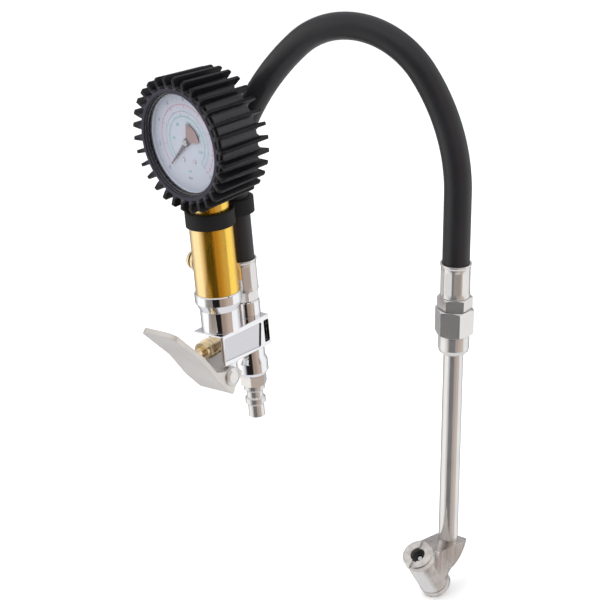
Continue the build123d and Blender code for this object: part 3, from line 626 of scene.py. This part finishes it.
def ferrule(name, place, body, base, top, node):
    """A turned sleeve whose wall is pressed into flats between its ends."""
    crimp_low = base + 1.4
    crimp_high = top - 2.6

    def crimped(angle, radius, height):
        if radius < ferrule_skin or height > crimp_high or height < crimp_low:
            return radius
        part = pi / crimp_count
        offset = (angle + crimp_turn) % (2 * part) - part
        flat = min(ferrule_radius, crimp_flat / cos(offset))
        ease = min(1, (crimp_high - height) / crimp_fade, (height - crimp_low) / crimp_fade)
        return radius + (flat - radius) * max(0, ease)

    steps = 8
    wall_low = base + 1.2
    span = top - 2.4 - wall_low
    wall = [(ferrule_radius, wall_low + span * step / steps) for step in range(steps + 1)]
    corners = [
        (ferrule_hole, base),
        (ferrule_radius, base),
        *wall,
        (ferrule_radius, top - 1.7),
        (ferrule_lip, top - 1.0),
        (ferrule_lip, top),
        (ferrule_mouth, top),
        (ferrule_mouth, base + 1.0),
        (ferrule_hole, base + 1.0),
    ]
    sleeve = lathe_mesh(corners, 0.3, even_angles(160), crimped)
    piece = place_mesh(name, sleeve, place, body, bright_nickel)
    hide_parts(node)


ferrule("crimped_ferrule_a", inlet, HANDLE, 79.0, 98.0, "ferrule_a")
ferrule("crimped_ferrule_b", wand, WAND, 0.0, 19.5, "ferrule_b")

# Coil springs -------------------------------------------------------------------------------------------
steps_per_turn = 28
wire_sides = 10


def spring(name, place, body, radius, wire, start, end, turns, node):
    """A coil spring of round wire, wound between two heights along its axis."""
    bm = bmesh.new()
    steps = turns * steps_per_turn
    along = Vector((0, 0, 1))
    turns_of_wire = even_angles(wire_sides)
    rings = []
    for step in range(steps + 1):
        angle = 2 * pi * turns * step / steps
        height = start + wire + (end - start - 2 * wire) * step / steps
        out = Vector((cos(angle), sin(angle), 0))
        centre = radius * out + height * along
        rings.append([centre + wire * (cos(turn) * out + sin(turn) * along) for turn in turns_of_wire])
    tube_between(bm, rings)
    piece = place_mesh(name, bm, place, body, steel)
    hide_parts(node)
    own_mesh(piece)


spring("valve_coil", bore, HANDLE, 2.2, 0.3, -3.5, 5.0, 6, "valve_spring")
spring("bleed_coil", bleed, HANDLE, 2.6, 0.3, 10.4, 15.5, 5, "bleed_spring")
for side, place in (("front", barrel), ("back", barrel_back)):
    node = f"{side}_spring"
    spring(f"{side}_coil", place, WAND, 3.0, 0.35, -17.0, -10.4, 5, node)

# Rubber boot --------------------------------------------------------------------------------------------
fin_count = 30
fin_start_angle = 3.0
boot_radius = 32.7
boot_back = -14.5
boot_front = 17.0
pocket_back = 13.3
pocket_front = 14.8
pocket_radius = 31.0
boot_hole = 24.0
case_radius = 30.05
case_back = -12.0
lip_radius = 29.2
lip_back = 15.25
ring_inside = 30.4
ring_crown = 30.9
tooth_half = 0.15
tooth_height = 0.6
gap_depth = 0.2
fin_half = 1.2
fin_taper = 0.04
foot_front = pocket_back - 0.1


def boot():
    """The boot's barrel: a toothed ring at the front, a pocket behind it, then the panels."""
    part = 2 * pi / fin_count
    first = radians(fin_start_angle)
    offsets = (-0.42, -0.28, -0.17, -0.13, 0.0, 0.13, 0.17, 0.28, 0.42, 0.5)
    angles = [first + (index + offset) * part for index in range(fin_count) for offset in offsets]

    def toothed(angle, radius, height):
        across = abs(((angle - first) / part + 0.5) % 1 - 0.5)
        tooth = across < tooth_half
        if radius < ring_inside or height < pocket_back:
            return radius
        if height < pocket_front + 0.1:
            return max(radius, boot_radius) if tooth else min(radius, pocket_radius)
        if radius > ring_crown:
            return radius + tooth_height if tooth else radius - gap_depth
        return radius

    corners = [
        (boot_hole, boot_back),
        (30.2, boot_back),
        (boot_radius, boot_back + 2.0),
        (boot_radius, pocket_back),
        (pocket_radius, pocket_back + 0.2),
        (pocket_radius, pocket_front),
        (boot_radius, pocket_front + 0.2),
        (boot_radius, boot_front - 0.7),
        (31.8, boot_front),
        (29.9, boot_front),
        (lip_radius, boot_front - 0.5),
        (lip_radius, lip_back),
        (case_radius, lip_back),
        (case_radius, case_back),
        (boot_hole, case_back),
    ]
    return lathe_mesh(corners, 0.4, angles, toothed)


def closed_mesh(bm, sections, turn_angle, soften):
    """Adds a prism between two matching outlines, with softened edges, turned round the dial's axis."""
    prism = bmesh.new()
    sides = [[prism.verts.new(point) for point in section] for section in sections]
    prism.faces.new(sides[0])
    prism.faces.new(list(reversed(sides[1])))
    for step in range(len(sides[0])):
        following = (step + 1) % len(sides[0])
        prism.faces.new((sides[0][step], sides[1][step], sides[1][following], sides[0][following]))
    bmesh.ops.recalc_face_normals(prism, faces=prism.faces)
    edges = list(prism.edges)
    bmesh.ops.bevel(
        prism, geom=edges, offset=soften, offset_type="OFFSET", segments=2, profile=0.5, affect="EDGES"
    )
    prism.transform(Matrix.Rotation(turn_angle, 4, "Z"))
    mesh = bpy.data.meshes.new("prism")
    prism.to_mesh(mesh)
    prism.free()
    bm.from_mesh(mesh)
    bpy.data.meshes.remove(mesh)


def fin_mesh(bm, angle, start):
    """One thorn-shaped fin on a wider foot; start cuts it short where the grip's neck passes."""
    front = [(14.6, 31.2), (16.8, 31.6), (17.4, 33.0), (18.2, 37.4), (16.4, 38.9)]
    if start is None:
        profile = [(-12.9, 31.2)] + front + [(-16.4, 37.2), (-17.5, 35.9), (-15.0, 33.2)]
        foot = (-13.4, foot_front)
    else:
        profile = [(start, 31.2)] + front + [(start, 38.4)]
        foot = (start, foot_front)
    sections = []
    for side in (-1, 1):
        sections.append([(r, side * (fin_half - fin_taper * (r - pocket_radius)), z) for z, r in profile])
    closed_mesh(bm, sections, angle, 0.3)
    foot_outline = [(31.6, -2.3), (32.6, -1.9), (34.2, -0.9), (34.2, 0.9), (32.6, 1.9), (31.6, 2.3)]
    closed_mesh(bm, [[(r, across, z) for r, across in foot_outline] for z in foot], angle, 0.15)


# Where the fins beside the grip's neck begin, by the fin's angle in degrees
neck_gaps = {-93: 11.8, -81: 10.9, -105: 8.6}
bm = boot()
for index in range(fin_count):
    angle = fin_start_angle + index * 360 / fin_count
    signed = angle - 360 if angle > 180 else angle
    fin_mesh(bm, radians(angle), neck_gaps.get(round(signed)))
boot_piece = place_mesh("gauge_boot_moulding", bm, dial, HANDLE, boot_rubber)
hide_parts("gauge_boot")

# Dial print ---------------------------------------------------------------------------------------------
print_low = 10.5
print_high = 10.56
zero = 225.0
sweep = 270.0
arc_width = 0.42
arc_steps = 90
large_tick = 0.45
small_tick = 0.28


def polar(radius, angle):
    """A point of the dial plane from its distance and its angle in degrees."""
    return (radius * cos(radians(angle)), radius * sin(radians(angle)))


def arc_band(bm, radius):
    """Adds a printed arc over the scale's sweep."""
    inner = radius - arc_width / 2
    outer = radius + arc_width / 2
    angles = [zero - sweep * step / arc_steps for step in range(arc_steps + 1)]
    for first, second in zip(angles, angles[1:]):
        outline = [polar(outer, second), polar(outer, first), polar(inner, first), polar(inner, second)]
        slab(bm, outline, print_low, print_high)


def ticks(bm, divisions, every, root, small_end, large_end):
    """Adds the scale's marks, a longer and wider one at each numbered division."""
    for index in range(divisions + 1):
        large = index % every == 0
        end = large_end if large else small_end
        half = (large_tick if large else small_tick) / 2
        turned = Matrix.Rotation(radians(zero - sweep * index / divisions), 2)
        corners = ((root, -half), (end, -half), (end, half), (root, half))
        slab(bm, [turned @ Vector(corner) for corner in corners], print_low, print_high)


def lettering(bm, text, radius, angle, size):
    """Adds a raised number or unit to the dial."""
    curve = bpy.data.curves.new("figure", "FONT")
    curve.body = text
    curve.size = size
    curve.align_x = "CENTER"
    curve.align_y = "CENTER"
    curve.extrude = (print_high - print_low) / 2
    curve.offset = 0.03
    maker = bpy.data.objects.new("figure", curve)
    bpy.context.scene.collection.objects.link(maker)
    bpy.context.view_layer.update()
    mesh = bpy.data.meshes.new_from_object(maker.evaluated_get(bpy.context.evaluated_depsgraph_get()))
    x, y = polar(radius, angle)
    mesh.transform(Matrix.Translation((x, y, (print_low + print_high) / 2)))
    bm.from_mesh(mesh)
    bpy.data.objects.remove(maker)
    bpy.data.curves.remove(curve)
    bpy.data.meshes.remove(mesh)


def numbers(bm, top_value, step, radius, size):
    """Adds the numbers of a scale."""
    for value in range(0, top_value + 1, step):
        lettering(bm, str(value), radius, zero - sweep * value / top_value, size)


def print_piece(name, bm, material):
    """Puts a printed piece on the dial."""
    piece = place_mesh(name, bm, dial, HANDLE, material)


wall_inner = 28.1
wall_outer = 28.5
wall_top = 12.3
surround = [(wall_inner, print_low), (wall_outer, print_low), (wall_outer, wall_top), (wall_inner, wall_top)]
print_piece("dial_surround", lathe_mesh(surround, 0.1, even_angles(96)), dial_white)

bm = bmesh.new()
arc_band(bm, 21.5)
ticks(bm, 32, 4, 21.5, 20.6, 19.6)
print_piece("dial_outer_scale", bm, red_ink)

bm = bmesh.new()
numbers(bm, 16, 2, 24.6, 3.3)
lettering(bm, "bar", 20.6, -90, 2.6)
ticks(bm, 80, 10, 17.2, 17.9, 18.3)
print_piece("dial_outer_numbers", bm, grey_ink)

bm = bmesh.new()
arc_band(bm, 14.6)
ticks(bm, 44, 4, 14.6, 15.5, 16.2)
numbers(bm, 220, 40, 11.4, 2.5)
lettering(bm, "psi", 16.6, -90, 2.4)
print_piece("dial_inner_scale", bm, teal_ink)

bm = bmesh.new()
tail_steps = 12
tail_start = 8.0
tail_span = 74.0
tail_low = 11.6
tail_high = 11.64
tail_outer = 11.3
tail_inner = 3.0
tail_angles = [tail_start + tail_span * step / tail_steps for step in range(tail_steps + 1)]
for first, second in zip(tail_angles, tail_angles[1:]):
    outline = [polar(tail_outer, first), polar(tail_outer, second), polar(tail_inner, second)]
    slab(bm, [*outline, polar(tail_inner, first)], tail_low, tail_high)
tail = place_mesh("pointer_tail_paint", bm, dial, "pointer", tail_paint)

# Stage --------------------------------------------------------------------------------------------------
floor_gap = 0.0002
floor_reach = 6.0
low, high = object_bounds()
middle = (low + high) / 2
floor_mesh = bpy.data.meshes.new("floor")
floor_sides = ((-1, -1), (1, -1), (1, 1), (-1, 1))
floor_corners = [(x * floor_reach, y * floor_reach, low.z - floor_gap) for x, y in floor_sides]
floor_mesh.from_pydata(floor_corners, [], [(0, 1, 2, 3)])
floor = bpy.data.objects.new("floor", floor_mesh)
bpy.context.scene.collection.objects.link(floor)
pale_floor = finish(
    "pale_floor", (0.93, 0.93, 0.93), (0.91, 0.91, 0.915), rough=(0.7, 0.8), drift=3,
    grain=(300, 0.00001), corner_shade=0,
)
floor_mesh.materials.append(pale_floor)
floor.visible_glossy = False

camera_azimuth = -49
camera_rise = radians(21)
camera_roll = radians(-5.2)
camera_distance = 1300
camera_back = Vector(heading(camera_azimuth)) * cos(camera_rise) + Vector((0, 0, sin(camera_rise)))
level_right = Vector(heading(camera_azimuth + 90))
camera_right = level_right * cos(camera_roll) + camera_back.cross(level_right) * sin(camera_roll)
camera_up = camera_back.cross(camera_right)
camera_data = bpy.data.cameras.new("camera")
camera_data.lens = 138.0
camera_data.sensor_width = 36.0
camera_data.clip_start = 0.05
camera_data.clip_end = 50
camera = bpy.data.objects.new("camera", camera_data)
bpy.context.scene.collection.objects.link(camera)
camera_matrix = Matrix((camera_right, camera_up, camera_back)).transposed().to_4x4()
camera_aim = Vector((0, grip_y, 86.0)) + 46.5 * camera_right - 5.59 * camera_up
camera_matrix.translation = (camera_aim + camera_distance * camera_back) * MM
camera.matrix_world = camera_matrix
bpy.context.scene.camera = camera


def softbox(name, offset, size, power):
    """Adds a soft light that points at the object's middle."""
    data = bpy.data.lights.new(name, "AREA")
    data.shape = "RECTANGLE"
    data.size, data.size_y = size
    data.energy = power
    lamp = bpy.data.objects.new(name, data)
    bpy.context.scene.collection.objects.link(lamp)
    lamp.location = middle + offset
    lamp.rotation_mode = "QUATERNION"
    lamp.rotation_quaternion = (-offset).to_track_quat("-Z", "Y")
    lamp.visible_glossy = False


softbox("top_softbox", Vector((-0.3, -0.5, 1.1)), (1.2, 1.2), 14)
softbox("side_softbox", Vector((1.1, -0.2, 0.5)), (0.8, 1.2), 8)


def studio_world():
    """Even white surroundings; reflections also see a dark and a brown panel on the camera's side."""
    world = bpy.data.worlds.new("studio")
    bpy.context.scene.world = world
    world.use_nodes = True
    tree = world.node_tree
    tree.nodes.clear()
    direction = add(tree, "ShaderNodeTexCoord").outputs["Generated"]
    rotation = {"Vector": direction, "Angle": -radians(camera_azimuth), "Axis": (0, 0, 1)}
    turned = add(tree, "ShaderNodeVectorRotate", rotation, rotation_type="AXIS_ANGLE").outputs[0]
    parts = add(tree, "ShaderNodeSeparateXYZ", {0: turned})
    azimuth = maths(tree, "ARCTAN2", parts.outputs["Y"], parts.outputs["X"])
    share = maths(tree, "MULTIPLY_ADD", azimuth, 1 / (2 * pi), 0.5)
    white = (1.0, 1.0, 1.0)
    pale = (0.72, 0.73, 0.75)
    dark = (0.014, 0.013, 0.013)
    charcoal = (0.1, 0.09, 0.08)
    brown = (0.36, 0.27, 0.22)
    warm = (0.55, 0.44, 0.36)
    bright = (1.15, 1.14, 1.1)
    grey = (0.12, 0.12, 0.12)
    side = (0.50, 0.50, 0.52)
    # Each panel's edge in degrees from the camera, where plus is the picture's right, and its colour
    panels = [
        (-180, side), (-155, side), (-149, grey), (-141, side), (-128, pale), (-112, bright), (-82, bright),
        (-72, white), (-60, pale), (-50, side), (-43, charcoal), (-36, dark), (2, dark),
        (9, brown), (22, brown), (48, warm), (66, warm), (74, white), (112, white), (128, pale),
        (143, side), (149, grey), (155, side), (180, side),
    ]
    around = ramp(tree, share, [((angle + 180) / 360, colour) for angle, colour in panels])
    rise = maths(tree, "ABSOLUTE", maths(tree, "ADD", parts.outputs["Z"], 0.05))
    upper = spread(tree, rise, 0.0, 1.0, 0.48, 0.68)
    panelled = blend_colours(tree, upper, around, (0.80, 0.80, 0.82, 1))
    path = add(tree, "ShaderNodeLightPath")
    seen = blend_colours(tree, path.outputs["Is Glossy Ray"], (*white, 1), panelled)
    background = add(tree, "ShaderNodeBackground", {"Color": seen, "Strength": 1.0})
    add(tree, "ShaderNodeOutputWorld", {"Surface": background.outputs[0]})


studio_world()
bpy.context.scene.view_settings.view_transform = "Standard"
bpy.context.scene.cycles.max_bounces = 8
bpy.context.scene.cycles.transparent_max_bounces = 8
